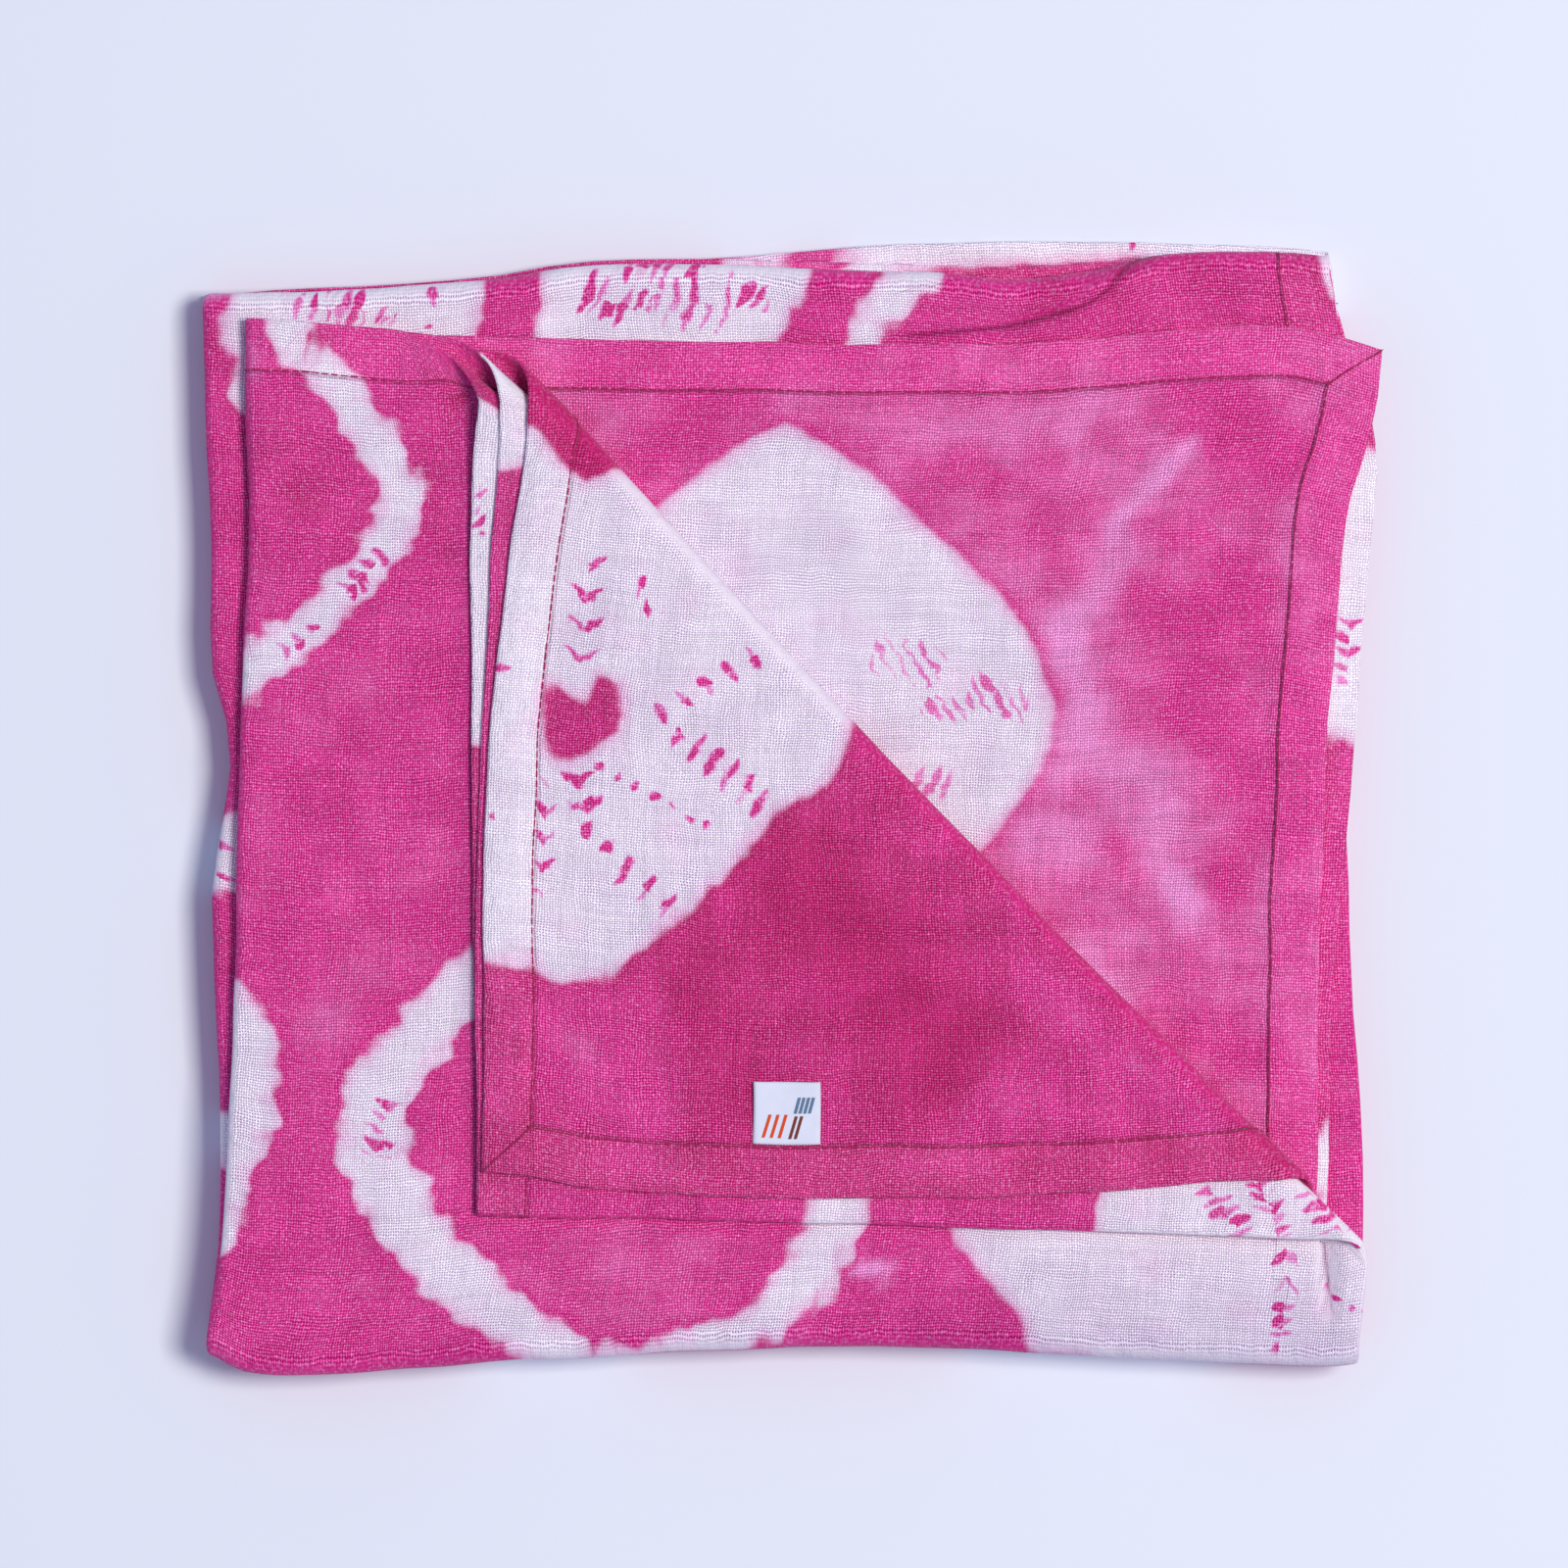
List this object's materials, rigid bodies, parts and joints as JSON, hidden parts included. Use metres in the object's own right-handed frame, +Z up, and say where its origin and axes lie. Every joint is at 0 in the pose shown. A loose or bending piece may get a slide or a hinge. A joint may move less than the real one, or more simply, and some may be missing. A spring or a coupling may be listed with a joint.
{
  "type": "folded swaddle blanket",
  "caption": "Dyed cotton muslin swaddle blanket, folded flat into a square with the corner of its top layers turned back, and a small woven label on the turned corner.",
  "frame": {"origin": "centre of the bounding box on the surface that the folded blanket lies on", "axes": "+Z up from the surface, +X to the right and +Y to the top edge, seen from above with the turned-back corner pointing to the lower left"},
  "size_m": [0.314, 0.3006, 0.0299],
  "materials": {
    "dyed_muslin": "matt plain-weave cotton muslin, magenta dye with white resist patterns",
    "label_tape": "white woven tape with two small embroidered marks"
  },
  "bodies": {
    "root": {"blanket": "dyed_muslin", "label": "label_tape"}
  },
  "joints": []
}
